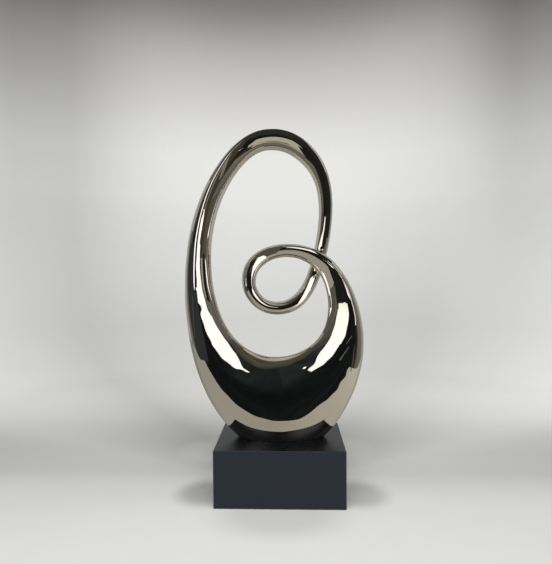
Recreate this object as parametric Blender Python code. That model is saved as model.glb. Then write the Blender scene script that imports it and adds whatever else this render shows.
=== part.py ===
"""Looped mirror-glazed ceramic sculpture on a black block plinth.

The sculpture is one closed tube that makes two full turns: up the left limb, over the crown, down
behind the crossing, round the small loop, over the crossing in front, and back into the heavy body
that stands on the plinth. Metres, +Z up, +Y away from the front, origin under the plinth's centre.
"""

import math

import bmesh
import bpy
import numpy as np

MM = 0.001

# Plinth
PLINTH_WIDTH = 150 * MM
PLINTH_DEPTH = 100 * MM
PLINTH_HEIGHT = 66 * MM
PLINTH_CHAMFER = 1.2 * MM
SEAT_GAP = 0.3 * MM  # felt-thin gap between the plinth and the sculpture's ground foot

# The tube's ribs, one for each eighth of a turn, starting under the body and running clockwise as
# seen from the front. Each rib is a flattened ring that stands square to the tube:
#   name, centre across, centre above the plinth, half width, half depth, set back, heel
# "set back" moves the ring away from the front, and "heel" moves its fullness to its outer edge.
# All in millimetres, heel without unit.
RIBS = (
    ("heel", -7, 38, 59, 22, 0, 0.4),
    ("left flank", -82, 107, 29.5, 18, 0, 0.4),
    ("left limb", -95, 246.5, 14, 13.5, 0, 0.45),
    ("left shoulder", -50, 341, 12, 12, 0, 0.4),
    ("crown", -3, 360.5, 12.5, 12.5, 0, 0.3),
    ("right shoulder", 34, 342, 11.5, 11.5, 0.5, 0.2),
    ("falling limb", 57, 283.5, 8.5, 8.5, 4, 0),
    ("loop, lower right", 37, 184.5, 8.5, 8.5, 6, 0),
    ("loop, foot", -4, 156.5, 8, 8, 2, 0),
    ("loop, lower left", -29, 168.5, 8, 8, -0.5, 0),
    ("loop, left", -37, 189.5, 8.5, 8.5, -1.5, 0),
    ("loop, upper left", -27, 213.5, 9, 9, -3, 0.1),
    ("loop, crown", 9, 226.5, 8, 8.5, -5, 0.3),
    ("crossing arm", 57, 205, 11.5, 9.5, -6, 0.5),
    ("right arm", 78, 140, 21.5, 14, -3.5, 0.55),
    ("right flank", 56, 75, 41.5, 15.5, -1, 0.3),
)
TURNS = 2
STEPS_PER_RIB = 10
RING_SIDES = 24


def clear_scene():
    for old in list(bpy.data.objects):
        bpy.data.objects.remove(old, do_unlink=True)


def ring_spline(values, places):
    """A smooth closed curve through the values, one at each whole number, read at the places."""
    count = len(values)
    pulls = np.zeros((count, count))
    for row in range(count):
        pulls[row, row] = 4 / 6
        pulls[row, (row - 1) % count] = 1 / 6
        pulls[row, (row + 1) % count] = 1 / 6
    knots = np.linalg.solve(pulls, np.array(values, float))
    whole = np.floor(places).astype(int)
    part = places - whole
    weights = (
        (1 - part) ** 3 / 6,
        (3 * part**3 - 6 * part**2 + 4) / 6,
        (-3 * part**3 + 3 * part**2 + 3 * part + 1) / 6,
        part**3 / 6,
    )
    return sum(weight * knots[(whole + shift - 1) % count] for shift, weight in enumerate(weights))


def tube_points():
    """The tube's surface as a grid of points: one row for each ring."""
    places = np.arange(len(RIBS) * STEPS_PER_RIB) / STEPS_PER_RIB
    columns = zip(*(rib[1:] for rib in RIBS))
    across, above, half_width, half_depth, set_back, heel = (
        ring_spline(column, places)[:, None] for column in columns
    )
    outward = -math.pi / 2 - (places * TURNS * 2 * math.pi / len(RIBS))[:, None]
    around = (np.arange(RING_SIDES) * 2 * math.pi / RING_SIDES)[None, :]
    reach = half_width * np.cos(around)
    depth = half_depth * np.sin(around) * (1 + heel * np.cos(around))
    x = (across + reach * np.cos(outward)) * MM
    y = (set_back + depth) * MM
    z = (above + reach * np.sin(outward)) * MM + PLINTH_HEIGHT
    return np.stack([x, y, z], axis=2)


def material(name, color, metallic, roughness):
    made = bpy.data.materials.new(name)
    made.use_nodes = True
    shader = made.node_tree.nodes["Principled BSDF"]
    shader.inputs["Base Color"].default_value = (*color, 1)
    shader.inputs["Metallic"].default_value = metallic
    shader.inputs["Roughness"].default_value = roughness
    return made


def add_object(name, mesh_data, finish):
    mesh = bpy.data.meshes.new(name)
    mesh_data.to_mesh(mesh)
    mesh_data.free()
    made = bpy.data.objects.new(name, mesh)
    if finish:
        mesh.materials.append(finish)
    bpy.context.scene.collection.objects.link(made)
    return made


def box(width, depth, height, bottom):
    """A box centred over the origin, with its underside at the given height."""
    made = bmesh.new()
    bmesh.ops.create_cube(made, size=1)
    bmesh.ops.scale(made, vec=(width, depth, height), verts=made.verts)
    bmesh.ops.translate(made, vec=(0, 0, bottom + height / 2), verts=made.verts)
    return made


def build_plinth():
    made = box(PLINTH_WIDTH, PLINTH_DEPTH, PLINTH_HEIGHT, 0)
    top_edges = [
        edge
        for edge in made.edges
        if all(corner.co.z > PLINTH_HEIGHT / 2 for corner in edge.verts)
    ]
    bmesh.ops.bevel(made, geom=top_edges, offset=PLINTH_CHAMFER, segments=1, affect="EDGES")
    return add_object("plinth", made, material("satin_black", (0.012, 0.013, 0.018), 0, 0.45))


def build_sculpture():
    points = tube_points()
    rings, sides = points.shape[:2]
    made = bmesh.new()
    grid = [[made.verts.new(point) for point in ring] for ring in points]
    for ring in range(rings):
        here = grid[ring]
        after = grid[(ring + 1) % rings]
        for side in range(sides):
            beside = (side + 1) % sides
            made.faces.new((here[side], here[beside], after[beside], after[side]))
    bmesh.ops.recalc_face_normals(made, faces=made.faces)
    sculpture = add_object(
        "loop_sculpture", made, material("mirror_glaze", (0.62, 0.58, 0.5), 1, 0.06)
    )

    seat_height = 200 * MM
    seat_top = PLINTH_HEIGHT + SEAT_GAP
    seat = add_object(
        "seat_cutter", box(400 * MM, 200 * MM, seat_height, seat_top - seat_height), None
    )
    seat.hide_render = True
    seat.display_type = "WIRE"
    cut = sculpture.modifiers.new("flat foot and fused crossing", "BOOLEAN")
    cut.operation = "DIFFERENCE"
    cut.object = seat
    cut.solver = "EXACT"
    cut.use_self = True
    return sculpture


clear_scene()
build_plinth()
build_sculpture()
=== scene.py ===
"""A mirror-glazed ceramic loop on a satin black block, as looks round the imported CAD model.

The object is two pieces: the sculpture and its plinth. A mirror shows what stands round it, so the
rest of the script is a small photo studio: a paper sweep and three lights that the camera sees by,
and a room, a table and a set of cards that only the mirror sees.
"""

import math

import bmesh
import bpy
import numpy as np
from mathutils import Matrix, Vector
from mathutils.kdtree import KDTree


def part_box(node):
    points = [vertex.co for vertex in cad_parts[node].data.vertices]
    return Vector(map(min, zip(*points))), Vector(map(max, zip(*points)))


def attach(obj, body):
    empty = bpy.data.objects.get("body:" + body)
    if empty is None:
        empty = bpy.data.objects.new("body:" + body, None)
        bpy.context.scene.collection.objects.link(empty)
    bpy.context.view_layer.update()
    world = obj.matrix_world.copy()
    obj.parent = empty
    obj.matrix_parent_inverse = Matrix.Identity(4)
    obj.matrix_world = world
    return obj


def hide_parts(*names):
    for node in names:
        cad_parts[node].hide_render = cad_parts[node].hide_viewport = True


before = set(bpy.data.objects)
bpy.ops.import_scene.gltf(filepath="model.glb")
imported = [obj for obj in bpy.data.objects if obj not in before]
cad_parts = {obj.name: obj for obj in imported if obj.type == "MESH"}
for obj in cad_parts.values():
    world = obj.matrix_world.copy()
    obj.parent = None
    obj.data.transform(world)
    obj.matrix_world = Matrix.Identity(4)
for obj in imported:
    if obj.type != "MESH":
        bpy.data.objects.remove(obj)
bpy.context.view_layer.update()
PLINTH_LOW, PLINTH_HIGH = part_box("plinth")
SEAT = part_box("loop_sculpture")[0].z
MM = 0.001

# ---------------------------------------------------------------- the sculpture
# The tube's ribs, one every eighth of a turn, clockwise from the foot as seen from the front:
# across, above the plinth, half width, half depth and set back in millimetres, and how much fuller
# the outer edge is.
RIBS = (
    ("heel", -7, 38, 59, 22, 0, 0.4),
    ("left flank", -82, 107, 29.5, 18, 0, 0.4),
    ("left limb", -95, 246.5, 14, 13.5, 0, 0.45),
    ("left shoulder", -50, 341, 12, 12, 0, 0.4),
    ("crown", -3, 360.5, 12.5, 12.5, 0, 0.3),
    ("right shoulder", 34, 342, 11.5, 11.5, 0.5, 0.2),
    ("falling limb", 57, 283.5, 8.5, 8.5, 4, 0),
    ("loop, lower right", 37, 184.5, 8.5, 8.5, 6, 0),
    ("loop, foot", -4, 156.5, 8, 8, 2, 0),
    ("loop, lower left", -29, 168.5, 8, 8, -0.5, 0),
    ("loop, left", -37, 189.5, 8.5, 8.5, -1.5, 0),
    ("loop, upper left", -27, 213.5, 9, 9, -3, 0.1),
    ("loop, crown", 9, 226.5, 8, 8.5, -5, 0.3),
    ("crossing arm", 57, 205, 11.5, 9.5, -6, 0.5),
    ("right arm", 78, 140, 21.5, 14, -3.5, 0.55),
    ("right flank", 56, 75, 41.5, 15.5, -1, 0.3),
)
TURNS = 2
RIB_COUNT = len(RIBS)
RIB_TURN = TURNS * math.tau / RIB_COUNT
PLINTH_TOP = PLINTH_HIGH.z / MM

# The mesh: how finely the tube is swept, the millimetres of a cell that fuses it, and the rounds
# that relax it and draw it back onto the true skin.
STEPS_PER_RIB = 40
RING_SIDES = 64
VOXEL = 1.3
RELAX_ROUNDS = 4
PULL_ROUNDS = 3

# Limits that keep one round of a search steady: ribs along the tube, millimetres onto the skin,
# millimetres of travel per rib, and the least fullness and steepness of a section.
MOST_STEP = 0.2
MOST_MOVE = 2.0
LEAST_TRAVEL = 1.0
LEAST_FULLNESS = 0.2
LEAST_STEEPNESS = 0.02

# Where the falling limb passes behind the crossing arm, by place along the tube in ribs; how near
# the two skins are before they blend, and the size of the fillet between them, in millimetres.
FALLING_LIMB = (5.5, 8.0)
CROSSING_ARM = (11.8, 14.5)
CROSSING_NEAR = 9.0
FILLET = 3.0

# Faint waves in the skin, in millimetres: how high a wave of the base length is, and the lengths
# that are used. Each wave is turned from the last by the golden angle, so they cross all ways.
RIPPLE_HEIGHT = 0.012
RIPPLE_BASE_LENGTH = 20
RIPPLE_LENGTHS = (17.0, 23.0, 31.0, 41.0)
WAVES_PER_LENGTH = 3
GOLDEN_TURN = math.pi * (3 - math.sqrt(5))


def ring_knots(values):
    """Control values of the closed cubic B-spline that passes through these values."""
    count = len(values)
    system = np.zeros((count, count))
    for row in range(count):
        for shift, share in ((-1, 1 / 6), (0, 4 / 6), (1, 1 / 6)):
            system[row, (row + shift) % count] = share
    return np.linalg.solve(system, values)


KNOTS = ring_knots(np.array([rib[1:] for rib in RIBS], float))


def ribs_at(place):
    """Rib values, one row each, at these places along the tube, and their slopes."""
    whole = np.floor(place).astype(int)
    f = place - whole
    shares = ((1 - f) ** 3, 3 * f**3 - 6 * f**2 + 4, -3 * f**3 + 3 * f**2 + 3 * f + 1, f**3)
    slopes = (-3 * (1 - f) ** 2, 9 * f**2 - 12 * f, -9 * f**2 + 6 * f + 3, 3 * f**2)
    values, rates = 0, 0
    for shift, (share, slope) in enumerate(zip(shares, slopes)):
        knots = KNOTS[(whole + shift - 1) % RIB_COUNT].T
        values = values + share / 6 * knots
        rates = rates + slope / 6 * knots
    return values, rates


def outward(place):
    """Unit vector across the tube, away from the middle of its turn."""
    angle = -math.pi / 2 - place * RIB_TURN
    return np.cos(angle), np.sin(angle)


def swept_points(place, around):
    """Points on the skin at these places along and angles around the tube."""
    (across, above, wide, deep, back, heel), _ = ribs_at(place)
    out_x, out_z = outward(place)
    reach = wide * np.cos(around)
    y = back + deep * np.sin(around) * (1 + heel * np.cos(around))
    return np.stack([across + reach * out_x, y, above + reach * out_z + PLINTH_TOP], 1)


def settled(points, place, rounds=3):
    """The place whose rib plane holds each point, found from a near one."""
    for _ in range(rounds):
        (across, above, *_), (rate_x, rate_z, *_) = ribs_at(place)
        out_x, out_z = outward(place)
        dx, dz = points[:, 0] - across, points[:, 2] - PLINTH_TOP - above
        aside = dx * out_z - dz * out_x
        change = rate_z * out_x - rate_x * out_z - RIB_TURN * (dx * out_x + dz * out_z)
        ahead = aside / np.minimum(change, -LEAST_TRAVEL)
        place = place - np.clip(ahead, -MOST_STEP, MOST_STEP)
    return place


def gap(points, place):
    """Signed distance, to first order, from the skin of the tube near these places."""
    place = settled(points, place)
    (across, above, wide, deep, back, heel), _ = ribs_at(place)
    out_x, out_z = outward(place)
    along = ((points[:, 0] - across) * out_x + (points[:, 2] - PLINTH_TOP - above) * out_z) / wide
    fuller = np.maximum(1 + heel * along, LEAST_FULLNESS)
    out = (points[:, 1] - back) / (deep * fuller)
    slope_in_plane = 2 * along / wide - 2 * out**2 * heel / (fuller * wide)
    slope_in_depth = 2 * out / (deep * fuller)
    steep = np.sqrt(slope_in_plane**2 + slope_in_depth**2)
    return (along**2 + out**2 - 1) / np.maximum(steep, LEAST_STEEPNESS)


class Skin:
    """The fused skin near a set of points: both limbs, joined by a small fillet."""

    def __init__(self, points, trees):
        found = [trees["all"].find(p) for p in points]
        self.own = np.array([trees["places"][f[1]] for f in found])
        self.other = np.zeros(len(points))
        self.near = np.zeros(len(points), bool)
        for mine, theirs in (("falling", "crossing"), ("crossing", "falling")):
            low, high = FALLING_LIMB if mine == "falling" else CROSSING_ARM
            for i in np.nonzero((self.own > low) & (self.own < high))[0]:
                _, index, away = trees[theirs].find(points[i])
                self.near[i] = away < CROSSING_NEAR
                self.other[i] = trees["places"][index]

    def height(self, points):
        own = gap(points, self.own)
        near = self.near
        other = gap(points[near], self.other[near])
        mix = np.maximum(FILLET - np.abs(own[near] - other), 0) / FILLET
        own[near] = np.minimum(own[near], other) - mix**2 * FILLET / 4
        return own - ripple(points)

    def slope(self, points, step=0.02):
        parts = []
        for axis in range(3):
            ahead, behind = points.copy(), points.copy()
            ahead[:, axis] += step
            behind[:, axis] -= step
            parts.append((self.height(ahead) - self.height(behind)) / (2 * step))
        return np.stack(parts, 1)

    def pulled(self, points):
        """The points moved straight onto the skin."""
        slope = self.slope(points)
        move = self.height(points) / (slope**2).sum(1)
        return points - np.clip(move, -MOST_MOVE, MOST_MOVE)[:, None] * slope


def ripple(points):
    """The faint unevenness of a slip-cast and hand-smoothed surface, in millimetres."""
    total = np.zeros(len(points))
    waves = WAVES_PER_LENGTH * len(RIPPLE_LENGTHS)
    for i in range(waves):
        length = RIPPLE_LENGTHS[i % len(RIPPLE_LENGTHS)]
        turn, lean = i * GOLDEN_TURN, math.asin(1 - 2 * (i + 0.5) / waves)
        way = (math.cos(lean) * math.cos(turn), math.cos(lean) * math.sin(turn), math.sin(lean))
        height = RIPPLE_HEIGHT * length / RIPPLE_BASE_LENGTH
        total += height * np.sin(points @ np.array(way) * math.tau / length + i)
    return total


def placed(name, data):
    """A new object in the scene that shows this mesh, light or camera."""
    thing = bpy.data.objects.new(name, data)
    bpy.context.scene.collection.objects.link(thing)
    return thing


def mesh_object(name, points, faces):
    mesh = bpy.data.meshes.new(name)
    mesh.from_pydata([tuple(p) for p in points], [], faces)
    mesh.update()
    return placed(name, mesh)


def sweep_grid():
    """The tube as a grid: places, points and faces, closed both ways."""
    stations = RIB_COUNT * STEPS_PER_RIB
    place = np.repeat(np.arange(stations) / STEPS_PER_RIB, RING_SIDES)
    around = np.tile(np.arange(RING_SIDES) * math.tau / RING_SIDES, stations)
    points = swept_points(place, around)
    faces = []
    for i in range(stations):
        here, ahead = i * RING_SIDES, (i + 1) % stations * RING_SIDES
        for j in range(RING_SIDES):
            k = (j + 1) % RING_SIDES
            faces.append((here + j, ahead + j, ahead + k, here + k))
    return place, points, faces


def tree_of(points, indices):
    tree = KDTree(len(indices))
    for index in indices:
        tree.insert(points[index], int(index))
    tree.balance()
    return tree


def vertex_array(mesh):
    flat = np.empty(len(mesh.vertices) * 3, np.float32)
    mesh.vertices.foreach_get("co", flat)
    return flat.reshape(-1, 3).astype(float)


def fused_sweep(points, faces):
    """One closed mesh of even cells round the swept tube, which crosses itself."""
    rough = mesh_object("rough_sweep", points, faces)
    remesh = rough.modifiers.new("fuse", "REMESH")
    remesh.mode = "VOXEL"
    remesh.voxel_size = VOXEL
    remesh.adaptivity = 0
    graph = bpy.context.evaluated_depsgraph_get()
    mesh = bpy.data.meshes.new_from_object(rough.evaluated_get(graph))
    bpy.data.objects.remove(rough)
    return mesh


def relax(mesh, trees):
    """Evens out the cells of the mesh, in millimetres, and lays them on the skin, in metres."""
    points = vertex_array(mesh)
    ends = np.empty(len(mesh.edges) * 2, np.int32)
    mesh.edges.foreach_get("vertices", ends)
    ends = ends.reshape(-1, 2)
    count = np.bincount(ends.ravel(), minlength=len(points))[:, None]
    skin = Skin(points, trees)
    for _ in range(RELAX_ROUNDS):
        points = skin.pulled(points)
        sums = np.zeros_like(points)
        np.add.at(sums, ends[:, 0], points[ends[:, 1]])
        np.add.at(sums, ends[:, 1], points[ends[:, 0]])
        points = (points + sums / count) / 2
    for _ in range(PULL_ROUNDS):
        points = skin.pulled(points)
    mesh.vertices.foreach_set("co", (points * MM).astype(np.float32).ravel())
    mesh.update()


def cut_foot(mesh):
    """Grinds the foot flat where the sculpture sits on the plinth."""
    shape = bmesh.new()
    shape.from_mesh(mesh)
    cut = bmesh.ops.bisect_plane(
        shape,
        geom=shape.verts[:] + shape.edges[:] + shape.faces[:],
        plane_co=(0, 0, SEAT),
        plane_no=(0, 0, 1),
        clear_inner=True,
    )
    rim = [e for e in cut["geom_cut"] if isinstance(e, bmesh.types.BMEdge)]
    foot = bmesh.ops.triangle_fill(shape, edges=rim, use_beauty=True, use_dissolve=False)
    foot_faces = [f for f in foot["geom"] if isinstance(f, bmesh.types.BMFace)]
    for face in shape.faces:
        face.smooth = True
    for face in foot_faces:
        face.smooth = False
        if face.normal.z > 0:
            face.normal_flip()
    for edge in rim:
        edge.smooth = False
    shape.to_mesh(mesh)
    shape.free()


def set_true_normals(mesh, trees):
    """Shades each corner by the skin's own normal, and the foot flat."""
    points = vertex_array(mesh) / MM
    normals = Skin(points, trees).slope(points)
    normals /= np.linalg.norm(normals, axis=1)[:, None]
    corner = np.empty(len(mesh.loops), np.int32)
    mesh.loops.foreach_get("vertex_index", corner)
    corner_normals = normals[corner]
    for polygon in mesh.polygons:
        if not polygon.use_smooth:
            start = polygon.loop_start
            corner_normals[start : start + polygon.loop_total] = (0, 0, -1)
    mesh.normals_split_custom_set(corner_normals)


def build_sculpture():
    place, points, faces = sweep_grid()
    trees = {"places": place, "all": tree_of(points, range(len(points)))}
    for name, (low, high) in (("falling", FALLING_LIMB), ("crossing", CROSSING_ARM)):
        trees[name] = tree_of(points, np.nonzero((place > low) & (place < high))[0])
    mesh = fused_sweep(points, faces)
    relax(mesh, trees)
    cut_foot(mesh)
    mesh.name = "mirror_sculpture"
    set_true_normals(mesh, trees)
    return placed("mirror_sculpture", mesh)


# ---------------------------------------------------------------- the plinth
EDGE_ROUND = 1.4 * MM
EDGE_SEGMENTS = 5


def build_plinth():
    shape = bmesh.new()
    bmesh.ops.create_cube(shape, size=1)
    size = PLINTH_HIGH - PLINTH_LOW
    middle = (PLINTH_HIGH + PLINTH_LOW) / 2
    for vert in shape.verts:
        vert.co = Vector(v * s for v, s in zip(vert.co, size)) + middle
    bmesh.ops.bevel(
        shape,
        geom=shape.edges[:],
        offset=EDGE_ROUND,
        segments=EDGE_SEGMENTS,
        profile=0.5,
        affect="EDGES",
    )
    mesh = bpy.data.meshes.new("painted_plinth")
    for face in shape.faces:
        face.smooth = True
    normals = []
    for vert in shape.verts:
        core = Vector(
            min(max(c, low + EDGE_ROUND), high - EDGE_ROUND)
            for c, low, high in zip(vert.co, PLINTH_LOW, PLINTH_HIGH)
        )
        normals.append((vert.co - core).normalized())
        vert.co = core + normals[-1] * EDGE_ROUND
    shape.to_mesh(mesh)
    shape.free()
    mesh.normals_split_custom_set_from_vertices(normals)
    return placed("painted_plinth", mesh)


# ---------------------------------------------------------------- materials
# Most of a noise texture lies between these values.
NOISE_LOW, NOISE_HIGH = 0.3, 0.7

# The glaze: a warm silver, almost polished. Peel is the height of a coat's orange peel in metres.
GLAZE_TONES = ((0.70, 0.645, 0.53), (0.74, 0.68, 0.56))
GLAZE_ROUGHNESS = (0.015, 0.035)
GLAZE_PEEL = 0.00001

# The paint: a blue black, paler with a painted highlight where the largest part of the normal falls
# from flat to rounded.
PAINT_TONES = ((0.029, 0.036, 0.052), (0.031, 0.038, 0.054))
PAINTED_EDGE_HIGHLIGHT = (0.072, 0.080, 0.098)
PAINT_ROUGHNESS = (0.26, 0.34)
PAINT_PEEL = 0.00004
PAINT_SHINE = 0.34
FLAT, ROUNDED = 0.98, 0.90


def grey(value):
    return (value, value, value)


class Nodes:
    """A material's node tree, with short ways to add nodes and join them up."""

    def __init__(self, name):
        self.material = bpy.data.materials.new(name)
        self.material.use_nodes = True
        self.tree = self.material.node_tree
        self.tree.nodes.clear()

    def add(self, kind, inputs=None, **settings):
        """Adds a node and gives its outputs. An input is a value or another node's output."""
        node = self.tree.nodes.new("ShaderNode" + kind)
        for key, value in settings.items():
            setattr(node, key, value)
        for key, value in (inputs or {}).items():
            socket = node.inputs[key]
            if isinstance(value, bpy.types.NodeSocket):
                self.tree.links.new(value, socket)
            else:
                socket.default_value = (*value, 1) if socket.type == "RGBA" else value
        return node.outputs

    def where(self):
        """The place on the object, in metres."""
        return self.add("TexCoord")["Object"]

    def parts(self, vector):
        """The X, Y and Z of a vector."""
        return self.add("SeparateXYZ", {"Vector": vector})

    def joined(self, x, y, z=0.0):
        return self.add("CombineXYZ", {"X": x, "Y": y, "Z": z})["Vector"]

    def number(self, operation, *values):
        return self.add("Math", dict(enumerate(values)), operation=operation)["Value"]

    def vector(self, operation, *values):
        return self.add("VectorMath", dict(enumerate(values)), operation=operation)["Vector"]

    def length(self, vector):
        return self.add("VectorMath", {0: vector}, operation="LENGTH")["Value"]

    def scaled(self, vector, scale):
        return self.add("VectorMath", {0: vector, "Scale": scale}, operation="SCALE")["Vector"]

    def stretched(self, vector, scales):
        return self.add("Mapping", {"Vector": vector, "Scale": scales})["Vector"]

    def product(self, first, *others):
        for other in others:
            first = self.vector("MULTIPLY", first, other)
        return first

    def share(self, value, start, end, low=0.0, high=1.0, **settings):
        """The value's way from start to end, told as a number from low to high."""
        inputs = {"Value": value, "From Min": start, "From Max": end, "To Min": low, "To Max": high}
        return self.add("MapRange", inputs, **settings)["Result"]

    def between(self, factor, first, second):
        """One number passing into another."""
        return self.add("Mix", {"Factor": factor, 2: first, 3: second})[0]

    def blend(self, factor, first, second):
        """One colour passing into another."""
        return self.add("Mix", {"Factor": factor, 6: first, 7: second}, data_type="RGBA")[2]

    def ramp(self, factor, *stops):
        """A colour that follows the factor through (place from 0 to 1, colour) stops."""
        colour = self.add("ValToRGB", {"Fac": factor})["Color"]
        points = colour.node.color_ramp.elements
        while len(points) < len(stops):
            points.new(1)
        for point, (place, shade) in zip(points, stops):
            point.position = place
            point.color = (*shade, 1)
        return colour

    def curve(self, value, stops):
        """A colour or grey that follows the value through (value, tone) stops, tones up to 2."""
        low, high = stops[0][0], stops[-1][0]
        halves = []
        for place, tone in stops:
            colour = tone if isinstance(tone, tuple) else grey(tone)
            halves.append(((place - low) / (high - low), tuple(part / 2 for part in colour)))
        return self.scaled(self.ramp(self.share(value, low, high), *halves), 2.0)

    def noise(self, where, scale, detail):
        """Soft noise, by its scale per metre and its detail."""
        inputs = {"Vector": where, "Scale": scale, "Detail": detail, "Roughness": 0.5}
        return self.add("TexNoise", inputs)["Fac"]

    def uneven(self, where, scale, detail, low, high):
        """A number that wanders between low and high."""
        return self.share(self.noise(where, scale, detail), NOISE_LOW, NOISE_HIGH, low, high)

    def clouded(self, where, scale, detail, first, second):
        """A colour that wanders between two."""
        cloud = self.noise(where, scale, detail)
        return self.ramp(cloud, (NOISE_LOW, first), (NOISE_HIGH, second))

    def peel(self, where, scale, detail, height):
        """The faint orange peel of a sprayed coat, as a normal."""
        inputs = {"Height": self.noise(where, scale, detail), "Strength": 0.1, "Distance": height}
        return self.add("Bump", inputs)["Normal"]

    def glow(self, colour):
        return self.add("Emission", {"Color": colour})["Emission"]

    def finish(self, shader):
        self.add("OutputMaterial", {"Surface": shader})
        return self.material


def mirror_material():
    nodes = Nodes("mirror_glaze")
    where = nodes.where()
    look = {
        "Base Color": nodes.clouded(where, 14, 3, *GLAZE_TONES),
        "Metallic": 1.0,
        "Roughness": nodes.uneven(where, 60, 4, *GLAZE_ROUGHNESS),
        "Normal": nodes.peel(where, 260, 2, GLAZE_PEEL),
    }
    return nodes.finish(nodes.add("BsdfPrincipled", look)["BSDF"])


def plinth_material():
    """Satin black paint, with a painted highlight a little paler along the rounded edges."""
    nodes = Nodes("satin_black")
    where = nodes.where()
    facing = nodes.vector("ABSOLUTE", nodes.add("TexCoord")["Normal"])
    parts = nodes.parts(facing)
    most = nodes.number("MAXIMUM", nodes.number("MAXIMUM", parts["X"], parts["Y"]), parts["Z"])
    # Painted highlight: the share of the way from flat to rounded, which turns the paint paler.
    rounded = nodes.share(most, FLAT, ROUNDED)
    paint = nodes.clouded(where, 18, 4, *PAINT_TONES)
    look = {
        "Base Color": nodes.blend(rounded, paint, PAINTED_EDGE_HIGHLIGHT),
        "Roughness": nodes.uneven(where, 90, 4, *PAINT_ROUGHNESS),
        "Normal": nodes.peel(where, 900, 3, PAINT_PEEL),
        "Specular IOR Level": PAINT_SHINE,
    }
    return nodes.finish(nodes.add("BsdfPrincipled", look)["BSDF"])


# ---------------------------------------------------------------- the object
sculpture = build_sculpture()
sculpture.data.materials.clear()
sculpture.data.materials.append(mirror_material())
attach(sculpture, "root")
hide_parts("loop_sculpture")

plinth = build_plinth()
plinth.data.materials.append(plinth_material())
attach(plinth, "root")
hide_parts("plinth")


# ---------------------------------------------------------------- the studio
# The point that far cards and lights face and that the room is centred on.
AIM = Vector((0, 0, 0.2))


def light_of(value):
    """Linear radiance of a display grey from 0 to 255, carried on past white."""
    part = value / 255
    return ((part + 0.055) / 1.055) ** 2.4 if part > 0.04045 else part / 12.92


def tinted(value, tint=(1, 1, 1)):
    return tuple(light_of(value) * share for share in tint)


def toward(azimuth, elevation):
    """Direction from the object: azimuth 0 is the front, 90 the right side."""
    a, e = math.radians(azimuth), math.radians(elevation)
    return Vector((math.sin(a) * math.cos(e), -math.cos(a) * math.cos(e), math.sin(e)))


def turned(name, profile, sides):
    """A surface of revolution about the vertical, through rings of (radius, height)."""
    points, faces = [], []
    for radius, height in profile:
        for j in range(sides):
            a = math.tau * j / sides
            points.append((radius * math.cos(a), radius * math.sin(a), height))
    for i in range(len(profile) - 1):
        below, above = i * sides, (i + 1) * sides
        for j in range(sides):
            k = (j + 1) % sides
            faces.append((below + j, below + k, above + k, above + j))
    return mesh_object(name, points, faces)


def papered(thing, name, shader):
    """Gives a stage piece the material that this shader builds."""
    nodes = Nodes(name)
    thing.data.materials.append(nodes.finish(shader(nodes)))


def only_reflected(thing, name, shader):
    """Keeps a stage piece to the mirror: it is out of sight and casts nothing."""
    papered(thing, name, shader)
    thing.visible_camera = False
    thing.visible_diffuse = False
    thing.visible_shadow = False


def card(name, corners, tone):
    """A flat card of one colour, or of colours that follow (millimetres up, colour) stops."""

    def shader(nodes):
        if isinstance(tone[0], tuple):
            up = nodes.parts(nodes.where())["Z"]
            return nodes.glow(nodes.curve(up, [(height * MM, colour) for height, colour in tone]))
        return nodes.glow(tone)

    only_reflected(mesh_object(name, corners, [range(len(corners))]), name + "_glow", shader)


def far_card(name, azimuth, elevation, distance, tone, outline):
    """A card that faces the object, its outline in metres about its middle."""
    ahead = toward(azimuth, elevation)
    side = Vector((0, 0, 1)).cross(-ahead).normalized()
    up = side.cross(ahead)
    middle = AIM + ahead * distance
    card(name, [middle + side * a + up * b for a, b in outline], tone)


def near_card(name, depth, tone, outline):
    """A card upright in front of the sculpture, its outline across and up in millimetres."""
    card(name, [Vector((x, -depth, z)) * MM for x, z in outline], tone)


def ribbon(*line):
    """Outline of a band along a line of (across, up, width)."""
    near, far = [], []
    for i, (x, z, width) in enumerate(line):
        x0, z0, _ = line[max(i - 1, 0)]
        x1, z1, _ = line[min(i + 1, len(line) - 1)]
        along = Vector((x1 - x0, z1 - z0)).normalized()
        out = Vector((along.y, -along.x)) * width / 2
        near.append((x + out.x, z + out.y))
        far.append((x - out.x, z - out.y))
    return near + far[::-1]


WHITE = tinted(305, (1, 1, 1.14))
CREAM = tinted(190, (1, 0.99, 0.95))
BLACK = tinted(34, (0.9, 1, 1.1))
OLIVE = tinted(70, (1, 0.9, 0.6))
STREAK = tinted(112, (1, 1, 0.88))
ARM_TONES = (
    (180, WHITE),
    (212, tinted(305, (1, 1.02, 1.08))),
    (222, tinted(290, (1, 1.06, 1.02))),
    (230, tinted(267, (1, 1.07, 1.03))),
)
CROWN_LOW_CAST = (1, 0.98, 0.86)
CROWN_LOW_TONES = (
    (340, tinted(92, CROWN_LOW_CAST)),
    (362, tinted(112, CROWN_LOW_CAST)),
    (388, tinted(128, CROWN_LOW_CAST)),
)

# Large cards about the studio: name, azimuth, elevation, distance, tone and outline.
FAR_CARDS = (
    ("left_softbox", -36, 0, 0.45, WHITE,
     ((-0.26, 0.05), (-0.24, 0.08), (-0.17, 0.105), (-0.09, 0.125), (-0.05, 0.10), (0, 0.07),
      (0.13, -0.03), (0.13, -0.05), (-0.13, -0.05), (-0.2, -0.01), (-0.235, 0.01))),
    ("right_softbox", 36, 6, 0.45, WHITE,
     ((-0.09, 0.10), (-0.04, 0.17), (0.07, 0.18), (0.21, 0.12), (0.17, 0.02), (-0.05, 0.04))),
    ("left_wall_card", -85, 33, 1.0, tinted(178),
     ((-0.3, -0.22), (0.3, -0.22), (0.3, 0.25), (-0.3, 0.25))),
    ("high_window", 95, 45, 1.0, tinted(215),
     ((-0.2, -0.22), (0.2, -0.22), (0.2, 0.22), (-0.2, 0.22))),
)
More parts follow.
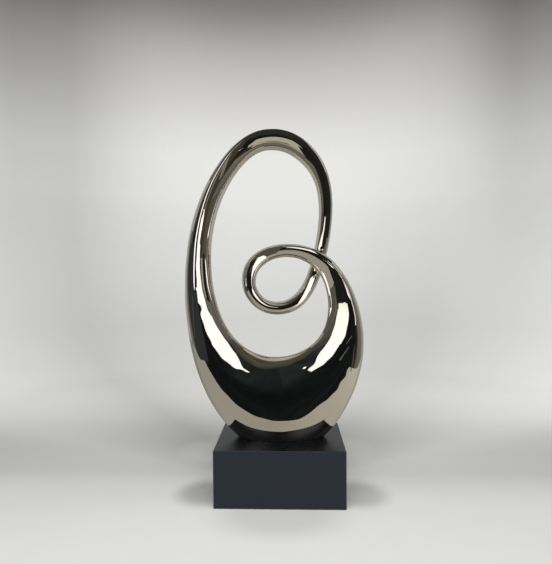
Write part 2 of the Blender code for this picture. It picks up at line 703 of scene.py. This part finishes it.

# Small glowing cards and dark flags close in front, each painting a highlight, streak or dark patch
# into the mirror's reflection at one spot: name, depth in millimetres, tone and outline.
NEAR_CARDS = (
    ("crown_card", 40, CREAM,
     ((-22, 413), (-10, 417.5), (2, 420), (15, 420), (24, 412), (30, 400), (22, 390), (-16, 390),
      (-22, 400))),
    ("crown_line_flag", 30, tinted(36, (1, 0.95, 0.8)),
     ribbon((-13, 400, 1.4), (-8, 399, 3.6), (-3, 399.5, 3.6), (4, 402, 1.6))),
    ("crown_edge_flag", 29, tinted(46, (1, 0.95, 0.8)),
     ribbon((-30, 387, 3), (-8, 388, 4), (8, 387, 4), (30, 385, 3))),
    ("shoulder_line_card", 20, tinted(240),
     ribbon((-70.5, 408, 3), (-66.5, 413, 3.2), (-62.5, 419, 3.2), (-58, 425.5, 2.8),
            (-54, 431, 2.4), (-49.5, 436.5, 1.8))),
    ("limb_inner_flag", 31, tinted(88, (1, 0.98, 0.88)),
     ((-54, 262), (-54, 345), (0, 345), (0, 262))),
    ("limb_brown_card", 29.5, tinted(134, (1, 0.96, 0.86)),
     ((-60, 411), (-56, 402), (-54, 394), (-50.5, 386), (-48, 374), (-55, 371), (-60, 382),
      (-63, 392), (-67, 402))),
    ("streak_high", 29, STREAK,
     ribbon((86, 188.6, 0.8), (81, 184, 1.3), (76.6, 179.6, 0.9))),
    ("streak_middle", 29, STREAK,
     ribbon((81.5, 175.5, 0.8), (77.5, 170.5, 1.3), (73.5, 165.5, 1.4), (70.5, 161.5, 2.4),
            (69.3, 160.2, 1.4))),
    ("streak_side", 29, tinted(92, (1, 0.84, 0.6)),
     ribbon((94, 177, 1), (93, 167, 2.4), (94.2, 153, 3), (93.6, 141, 2.4))),
    ("limb_faint_card", 29, tinted(100),
     ribbon((-105.2, 240, 1), (-106.3, 221, 1.4), (-110.3, 196, 1.6), (-115, 185, 1))),
    ("crown_low_card", 30, CROWN_LOW_TONES,
     ((-30, 340), (-30, 388), (30, 386), (34, 340))),
    ("ring_upper_card", 30, WHITE,
     ((-30, 286), (-18, 282), (-10, 270), (-2, 252), (-4, 248), (-20, 256), (-28, 266))),
    ("ring_lower_card", 13, WHITE,
     ((30, 262), (50, 262), (50, 220), (35, 212), (28, 225))),
    ("ring_side_flag", 10.5, BLACK,
     ((46, 222), (56, 222), (56, 236), (46, 236))),
    ("ring_high_flag", 11.5, BLACK,
     ((42, 258), (47, 258), (47, 266), (42, 266))),
    ("ring_line_card", 30, tinted(215),
     ribbon((-56, 243, 2.5), (-60, 255, 3), (-61.5, 268, 3), (-60, 285, 3))),
    ("ring_left_flag", 30, BLACK,
     ((-54, 240), (-36, 240), (-38, 262), (-33, 274), (-36, 290), (-50, 290), (-57, 268))),
    ("arm_card", 30, ARM_TONES,
     ((48, 223.5), (62, 226), (77, 228), (79, 216), (77, 207), (74, 199), (72, 189), (66, 180),
      (45, 180), (45, 200), (46, 215))),
    ("arm_line_card", 30, WHITE,
     ribbon((66, 290, 3.5), (75, 288, 4), (82, 283, 4.5), (87.5, 273, 4.5), (92, 262, 4.5),
            (97, 251, 4.5), (96.5, 242, 4), (95.5, 232, 3.5), (99, 219, 3.5), (100, 211, 3.5),
            (98, 202, 3))),
    ("limb_card", 30, WHITE,
     ribbon((-97.3, 247, 2), (-97, 258, 4.2), (-96.8, 276, 4.5), (-96.2, 288, 5),
            (-95.2, 305, 5), (-91.7, 330, 5), (-88.3, 352, 5), (-86, 367, 5), (-82.5, 388, 5.5),
            (-78, 405, 6), (-74.5, 416, 6), (-71, 428, 6))),
    ("limb_second_card", 29, tinted(150),
     ribbon((-78, 340, 4), (-76.5, 352, 3.5), (-71, 378, 4), (-62, 403, 4), (-57, 412, 3))),
    ("falling_card", 30, WHITE,
     ((50, 335), (56, 333), (54.5, 318), (51, 311), (50.5, 299), (40, 298.5), (20, 298.5),
      (6, 302), (12, 307), (30, 313), (42, 318))),
    ("limb_gap_flag", 30, BLACK,
     ((-94.3, 250), (-94, 270), (-93, 288), (-91.8, 305), (-88.5, 329), (-84.5, 340),
      (-79, 340), (-83.5, 329), (-86, 305), (-87, 288), (-89, 276), (-87, 258), (-88.5, 250))),
    ("limb_high_flag", 30, OLIVE,
     ((-85, 342), (-83, 352), (-79, 375), (-75, 392), (-71, 405), (-66, 418), (-60, 428),
      (-38, 425), (-40, 400), (-50, 378), (-54, 352), (-54, 285), (-73, 285), (-73, 330),
      (-77, 341))),
    ("limb_foot_flag", 30, tinted(56, (0.9, 1, 1.22)),
     ((-140, 305), (-99.5, 305), (-101, 288), (-101, 276), (-101, 258), (-99, 248),
      (-89.5, 246), (-88, 200), (-85, 160), (-120, 160), (-140, 240))),
    ("falling_flag", 30, BLACK,
     ((53, 293), (53, 311), (57, 320), (58.5, 334), (55, 346), (46, 372), (44, 398), (100, 404),
      (100, 293))),
    ("shoulder_flag", 30, BLACK,
     ((20, 412), (46, 402), (50, 380), (55, 350), (35, 350), (18, 362), (16, 392))),
    ("arm_dark_flag", 30, BLACK,
     ((40, 221), (48, 224.5), (62, 227), (77, 229), (84, 231), (84, 262), (74, 276), (54, 272),
      (50.5, 266), (46, 250), (45.5, 240), (40, 232))),
    ("lamp_card", 50, tinted(330, (0.9, 0.97, 1.1)),
     ((18.7, 165), (19.6, 166.6), (21.4, 166.6), (22.3, 165), (21.4, 163.4), (19.6, 163.4))),
)

# A pale card across the openings, which gives the inner rims their light, with a short ledge along
# its top, in millimetres.
OPENING_X, OPENING_FRONT, OPENING_BACK = -10, -12, 50
OPENING_LOW, OPENING_MIDDLE, OPENING_HIGH = 290, 350, 388
LEDGE_REACH, LEDGE_BACK = 12, 18
LEDGE_TONE = tinted(160)
OPENING_TONES = (
    (OPENING_LOW, tinted(186)),
    (OPENING_MIDDLE, tinted(186)),
    (OPENING_HIGH, LEDGE_TONE),
)

# A dark glowing hood just outside the crown and the right shoulder, which paints their dark
# reflection, in millimetres: its line across and up, and where its front and back edges are there.
HOOD_LINE = (
    (-98, 388, -80, -4), (-85, 412, -80, -2), (-60, 434, -80, 0), (-40, 447, -80, 6),
    (-20, 454, -80, 26), (5, 456, -80, 28), (30, 450, -80, 10), (55, 432, -80, -7),
    (75, 400, -34, -6), (86, 360, -32, -3), (90, 318, -32, 0), (90, 304, -32, 0),
)
# Its tones, by share of the way between its left and its right, in metres across.
HOOD_LEFT, HOOD_RIGHT = -0.1, 0.09
HOOD_TONES = (
    (0.0, tinted(110)),
    (0.16, tinted(84)),
    (0.28, tinted(58)),
    (0.42, tinted(52, (1, 0.99, 0.95))),
    (0.63, tinted(52, (1, 1, 0.98))),
    (0.78, tinted(42, (0.95, 1, 1.1))),
    (1.0, tinted(40, (0.9, 1, 1.15))),
)


def hood_shader(nodes):
    """A dark glow, painted into the reflection over the crown and the shoulder, fading into the
    paper down the left limb.
    """
    across = nodes.share(nodes.parts(nodes.where())["X"], HOOD_LEFT, HOOD_RIGHT)
    return nodes.glow(nodes.ramp(across, *HOOD_TONES))


def build_hood():
    front = [Vector((x, y, z)) * MM for x, z, y, _ in HOOD_LINE]
    back = [Vector((x, y, z)) * MM for x, z, _, y in HOOD_LINE]
    count = len(HOOD_LINE)
    faces = [(i, i + 1, count + i + 1, count + i) for i in range(count - 1)]
    only_reflected(mesh_object("crown_hood", front + back, faces), "hood_glow", hood_shader)


def build_opening_cards():
    upright = (
        (OPENING_FRONT, OPENING_LOW),
        (OPENING_BACK, OPENING_LOW),
        (OPENING_BACK, OPENING_HIGH),
        (OPENING_FRONT, OPENING_HIGH),
    )
    card("opening_card", [Vector((OPENING_X, y, z)) * MM for y, z in upright], OPENING_TONES)
    left, right = OPENING_X - LEDGE_REACH, OPENING_X + LEDGE_REACH
    flat = (
        (left, OPENING_FRONT),
        (right, OPENING_FRONT),
        (right, LEDGE_BACK),
        (left, LEDGE_BACK),
    )
    card("opening_ledge", [Vector((x, y, OPENING_HIGH)) * MM for x, y in flat], LEDGE_TONE)


# The reflected room is a sphere. Its tones go by azimuth in degrees: display grey, and the cast of
# the light there.
ROOM_RADIUS = 1.6
ROOM_BANDS, ROOM_SIDES = 32, 64
FRONT_CAST = (0.75, 0.92, 1.05)
SIDE_CAST = (1, 1, 1)
PAPER_CAST = (0.98, 1, 1.02)
ROOM_TONES = (
    (-180, 195, PAPER_CAST), (-128, 188, PAPER_CAST), (-110, 176, PAPER_CAST),
    (-98, 158, PAPER_CAST), (-88, 125, PAPER_CAST), (-75, 105, PAPER_CAST), (-60, 92, SIDE_CAST),
    (-48, 78, SIDE_CAST), (-30, 50, FRONT_CAST), (0, 42, FRONT_CAST), (20, 44, FRONT_CAST),
    (34, 50, SIDE_CAST), (45, 52, SIDE_CAST), (52, 90, SIDE_CAST), (58, 116, PAPER_CAST),
    (75, 112, PAPER_CAST), (92, 124, PAPER_CAST), (105, 158, PAPER_CAST), (120, 172, PAPER_CAST),
    (180, 195, PAPER_CAST),
)
LOW_FRONT = tinted(26, (0.8, 1, 1.15))
HIGH_FRONT = tinted(84, (1, 0.97, 0.82))
CEILING = tinted(180, (1, 0.995, 0.97))

# Where the low front ends, and where the olive band and the ceiling start, as the sine of the
# height.
LOW_FRONT_END = (0.26, 0.16)
BAND_START = (0.51, 0.58)
CEILING_START = (0.78, 0.80)
# How far these reach to each side of the front, and over how much they fade, in shares of a turn.
LOW_FRONT_REACH = (0.07, 0.05)
BAND_REACH = (0.17, 0.05)
STREAKS_REACH = (0.20, 0.08)
# Streaks stand upright and layers lie flat: how the noise is scaled round and up, its detail, and
# the least and most of the tone that it leaves.
STREAKS = ((9, 1.2, 1), 4, 0.55, 1.45)
LAYERS = ((1.5, 40, 1), 3, 0.45, 1.5)


def drawn_out(nodes, around, scales, detail, low, high):
    return nodes.uneven(nodes.stretched(around, scales), 1, detail, low, high)


def in_front(nodes, turn, reach, fade):
    """One in the middle of the front, and nought past its reach to either side."""
    stops = ((-reach - fade, 0), (-reach, 1), (reach, 1), (reach + fade, 0))
    return nodes.ramp(turn, *[(0.5 + place, grey(tone)) for place, tone in stops])


def room_shader(nodes):
    """Paper round the back and sides, a dark streaked front, an olive band and a pale ceiling."""
    parts = nodes.parts(nodes.vector("NORMALIZE", nodes.where()))
    height = parts["Z"]
    azimuth = nodes.number("ARCTAN2", parts["X"], nodes.number("MULTIPLY", parts["Y"], -1.0))
    turn = nodes.share(azimuth, -math.pi, math.pi)
    around = nodes.joined(azimuth, height)

    tones = [((degrees + 180) / 360, tinted(value, cast)) for degrees, value, cast in ROOM_TONES]
    low = nodes.share(height, *LOW_FRONT_END)
    low = nodes.number("MULTIPLY", low, in_front(nodes, turn, *LOW_FRONT_REACH))
    walls = nodes.blend(low, nodes.ramp(turn, *tones), LOW_FRONT)

    streaks = drawn_out(nodes, around, *STREAKS)
    streaks = nodes.between(in_front(nodes, turn, *STREAKS_REACH), 1.0, streaks)
    layers = drawn_out(nodes, around, *LAYERS)
    band = nodes.share(height, *BAND_START)
    band = nodes.number("MULTIPLY", band, in_front(nodes, turn, *BAND_REACH))
    raised = nodes.blend(band, nodes.scaled(walls, streaks), nodes.scaled(HIGH_FRONT, layers))
    return nodes.glow(nodes.blend(nodes.share(height, *CEILING_START), raised, CEILING))


def build_room():
    profile = []
    for i in range(ROOM_BANDS + 1):
        a = math.pi * i / ROOM_BANDS
        profile.append((ROOM_RADIUS * math.sin(a), -ROOM_RADIUS * math.cos(a)))
    room = turned("reflected_room", profile, ROOM_SIDES)
    room.location = AIM
    only_reflected(room, "room_glow", room_shader)


# Outline of the table that the mirror sees, in metres: past its front edge the room is dark.
TABLE_OUTLINE = (
    (0.75, 0.75), (0.62, 0.25), (0.52, 0.08), (0.40, -0.07), (0.32, -0.22), (0.23, -0.39),
    (0.20, -0.42), (0.15, -0.48), (0.10, -0.41), (0.05, -0.44), (0, -0.48), (-0.06, -0.53),
    (-0.12, -0.62), (-0.20, -0.63), (-0.28, -0.80), (-0.42, -0.95), (-0.50, -0.40),
    (-0.60, -0.22), (-0.70, 0.05), (-0.80, 0.75),
)
# Its tones by share of the way between its left and its right, in metres across, with painted light
# brighter on the right, and how much of them is kept by metres back, a painted shade behind the
# plinth.
TABLE_LEFT, TABLE_RIGHT = -0.5, 0.5
TABLE_PAINTED_LIGHT = (
    (0.2, tinted(168, (1, 1, 0.98))),
    (0.5, tinted(168, (1, 0.99, 0.93))),
    (0.8, tinted(200, (1, 0.99, 0.98))),
)
TABLE_PAINTED_SHADE = ((-1.0, 1.0), (-0.02, 1.0), (0.12, 0.72), (0.5, 0.72), (0.75, 0.8))


def table_shader(nodes):
    """Glowing pale paper, with painted light brighter on the right and painted shade behind the
    plinth.
    """
    parts = nodes.parts(nodes.where())
    colour = nodes.ramp(nodes.share(parts["X"], TABLE_LEFT, TABLE_RIGHT), *TABLE_PAINTED_LIGHT)
    return nodes.glow(nodes.product(colour, nodes.curve(parts["Y"], TABLE_PAINTED_SHADE)))


def build_table():
    corners = [(x, y, 0) for x, y in TABLE_OUTLINE]
    table = mesh_object("reflected_table", corners, [range(len(corners))])
    only_reflected(table, "table_glow", table_shader)


# The sweep's profile, in metres: where the floor ends, the radius of the bend and the wall's top.
FLOOR_RADIUS, BEND, WALL_TOP = 0.7, 0.5, 2.4
BEND_STEPS = 24
SWEEP_SIDES = 96

# Painted light and shade on the paper, as tones: up the wall by height and over the floor by metres
# back, and round both by turn in degrees. The turn is that of the floor low down and that of the
# wall high up.
PAINTED_WALL_LIGHT = (
    (0.0, 0.88), (0.03, 0.835), (0.10, 0.805), (0.24, 0.885), (0.39, 0.96), (0.55, 1.065),
    (0.70, 1.045), (0.81, 0.935), (0.93, 0.79), (1.0, 0.71), (1.08, 0.605), (1.15, 0.488),
    (1.21, 0.376), (1.27, 0.288), (1.4, 0.2),
)
WALL_WARMTH = (
    (0.0, 1.0), (0.15, 0.985), (0.35, 0.985), (0.7, 0.995), (0.95, 1.01), (1.15, 1.03),
    (1.3, 1.055),
)
PAINTED_FLOOR_LIGHT = (
    (-0.6, 0.72), (-0.14, 0.703), (-0.07, 0.695), (-0.03, 0.678), (0.0, 0.636), (0.02, 0.598),
    (0.04, 0.535), (0.06, 0.51), (0.12, 0.489), (0.16, 0.513), (0.20, 0.561), (0.24, 0.635),
    (0.29, 0.74), (0.36, 0.85), (0.43, 0.934), (0.52, 0.98), (0.63, 1.01), (0.75, 1.0),
)
PAINTED_WALL_TURN_LIGHT = (
    (-180, 1.0), (-85, 1.0), (-60, 0.5), (-45, 0.42), (-36.5, 0.55), (-33, 0.68), (-29.5, 0.80),
    (-27, 0.87), (-23, 0.96), (-19, 1.0), (18, 1.0), (22, 0.96), (27, 0.86), (30, 0.73),
    (32.5, 0.60), (36, 0.40), (38, 0.34), (45, 0.32), (60, 0.45), (85, 1.0), (180, 1.0),
)
PAINTED_FLOOR_TURN_LIGHT = (
    (-180, 1.0), (-112, 1.0), (-97, 0.95), (-85, 1.0), (-65, 1.14), (-52, 0.98), (-42, 0.86),
    (-37, 0.80), (-33, 0.84), (-27, 0.90), (-20, 0.94), (-14, 0.98), (-9, 1.0), (8, 1.0),
    (12, 0.97), (18, 0.90), (26, 0.88), (32, 0.94), (40, 1.0), (47, 1.08), (60, 1.24),
    (75, 1.10), (85, 1.0), (180, 1.0),
)
# Heights over which the floor's tones give way to the wall's, by depth and by turn.
FLOOR_END = (0.0, 0.2)
FLOOR_TURN_END = (0.1, 1.27)
# Soft painted shadows on the floor round the plinth, and two painted pools of light behind it where
# the
# loss is below nought: middle and reach across and back in metres, and how much is lost there. The
# middle of each, out to this share of its reach, is even.
PAINTED_FLOOR_SHADES_AND_LIGHT = (
    (-0.090, -0.012, 0.048, 0.046, 0.40),
    (0.092, -0.012, 0.048, 0.046, 0.33),
    (0, -0.06, 0.098, 0.06, 0.19),
    (-0.10, 0.12, 0.07, 0.06, -0.22),
    (0.10, 0.13, 0.05, 0.06, -0.12),
)
SHADE_CORE = 0.35
# The paper's own colour, in faint flecks, and how much of its tone it gives off by itself as a
# painted glow.
PAPER_FLECKS = ((0.988, 0.985, 0.95), (1, 0.997, 0.965))
GLOW_SHARE = 0.3


def painted_floor_patch(nodes, where, x, y, wide, deep, lost):
    """What an oval painted shadow leaves of the floor's tone, least at its middle, all past its
    edge; a negative loss paints a pool of light instead.
    """
    away = nodes.vector("SUBTRACT", where, (x, y, 0))
    reach = nodes.length(nodes.vector("MULTIPLY", away, (1 / wide, 1 / deep, 1 / deep)))
    kept = nodes.share(reach, SHADE_CORE, 1.0, 1 - lost, interpolation_type="SMOOTHSTEP")
    return nodes.joined(kept, kept, kept)


def cove_shader(nodes):
    """Pale paper, with painted light and shade by the height of the wall, the depth of the floor
    and the turn aside.
    """
    where = nodes.where()
    parts = nodes.parts(where)
    depth, height = parts["Y"], parts["Z"]
    turn = nodes.number("DEGREES", nodes.number("ARCTAN2", parts["X"], depth))
    floor = nodes.curve(depth, PAINTED_FLOOR_LIGHT)
    floor_turn, wall_turn = nodes.curve(turn, PAINTED_FLOOR_TURN_LIGHT), nodes.curve(turn, PAINTED_WALL_TURN_LIGHT)
    tone = nodes.product(
        nodes.curve(height, PAINTED_WALL_LIGHT),
        nodes.blend(nodes.share(height, *FLOOR_END), floor, grey(1)),
        nodes.blend(nodes.share(height, *FLOOR_TURN_END), floor_turn, wall_turn),
        nodes.clouded(where, 40, 5, *PAPER_FLECKS),
        nodes.joined(nodes.curve(height, WALL_WARMTH), 1.0, 1.0),
        *[painted_floor_patch(nodes, where, *shade) for shade in PAINTED_FLOOR_SHADES_AND_LIGHT],
    )
    lit = nodes.add("BsdfDiffuse", {"Color": tone})["BSDF"]
    return nodes.add("MixShader", {0: GLOW_SHARE, 1: lit, 2: nodes.glow(tone)})["Shader"]


def build_cove():
    """Floor and wall in one sweep all round, which only the camera and the light on it see."""
    profile = [(0.001, 0.0), (0.25, 0.0), (0.5, 0.0)]
    for i in range(BEND_STEPS + 1):
        a = math.pi / 2 * i / BEND_STEPS
        profile.append((FLOOR_RADIUS + BEND * math.sin(a), BEND * (1 - math.cos(a))))
    profile.append((FLOOR_RADIUS + BEND, WALL_TOP))
    cove = turned("studio_cove", profile, SWEEP_SIDES)
    for polygon in cove.data.polygons:
        polygon.use_smooth = True
    papered(cove, "pale_paper", cove_shader)
    cove.visible_glossy = False
    cove.visible_shadow = False
    cove.visible_diffuse = False
    return cove


# Soft lights aimed at the object: name, azimuth, elevation, distance, width, height and radiance.
OBJECT_LIGHTS = (
    ("front_left", -42, -9, 0.85, 0.42, 0.12, 13.0),
    ("front_right", 42, -9, 0.85, 0.42, 0.12, 14.5),
)
PAPER_LIGHTS = (("paper_light", 0, 55, 1.3, 1.4, 1.4, 5.9),)
WORLD_COLOUR = (1.0, 0.995, 0.98, 1)
WORLD_STRENGTH = 0.06


def area_light(name, azimuth, elevation, distance, width, height, radiance):
    """A soft light that the mirror and the camera do not see."""
    light = bpy.data.lights.new(name, "AREA")
    light.shape = "RECTANGLE"
    light.size, light.size_y = width, height
    light.energy = radiance * math.pi * width * height
    thing = placed(name, light)
    thing.location = AIM + toward(azimuth, elevation) * distance
    thing.rotation_euler = (AIM - thing.location).to_track_quat("-Z", "Y").to_euler()
    thing.visible_camera = False
    thing.visible_glossy = False
    return thing


def shine_on(name, rows, things):
    """Adds lights that light only some of the things in the scene."""
    lights = [area_light(*row) for row in rows]
    receivers = bpy.data.collections.new(name)
    for thing in things:
        receivers.objects.link(thing)
    for light in lights:
        light.light_linking.receiver_collection = receivers


def build_world():
    world = bpy.data.worlds.new("studio")
    bpy.context.scene.world = world
    world.use_nodes = True
    background = world.node_tree.nodes["Background"]
    background.inputs["Color"].default_value = WORLD_COLOUR
    background.inputs["Strength"].default_value = WORLD_STRENGTH


cove = build_cove()
build_table()
build_room()
build_hood()
build_opening_cards()
build_world()
for row in FAR_CARDS:
    far_card(*row)
for row in NEAR_CARDS:
    near_card(*row)
shine_on("only_object", OBJECT_LIGHTS, [sculpture, plinth])
shine_on("only_paper", PAPER_LIGHTS, [cove])

# ---------------------------------------------------------------- the camera
# The lens and the sensor in millimetres, the eye in metres and its turns in degrees.
LENS, SENSOR = 29.106, 36
EYE = Vector((0.0145, -0.5556, 0.2653))
PITCH, YAW, ROLL = (math.radians(a) for a in (-1.12, -1.904, -0.42))
NEAREST, FARTHEST = 0.01, 20


def build_camera():
    data = bpy.data.cameras.new("camera")
    data.lens, data.sensor_width = LENS, SENSOR
    data.clip_start, data.clip_end = NEAREST, FARTHEST
    camera = placed("camera", data)
    right = Vector((math.cos(YAW), -math.sin(YAW), 0))
    level = Vector((math.sin(YAW), math.cos(YAW), 0)) * math.cos(PITCH)
    ahead = level + Vector((0, 0, math.sin(PITCH)))
    up = right.cross(ahead)
    right, up = (
        right * math.cos(ROLL) + up * math.sin(ROLL),
        up * math.cos(ROLL) - right * math.sin(ROLL),
    )
    turn = Matrix((right, up, -ahead)).transposed()
    camera.matrix_world = Matrix.Translation(EYE) @ turn.to_4x4()
    bpy.context.scene.camera = camera


build_camera()
bpy.context.scene.view_settings.view_transform = "Standard"
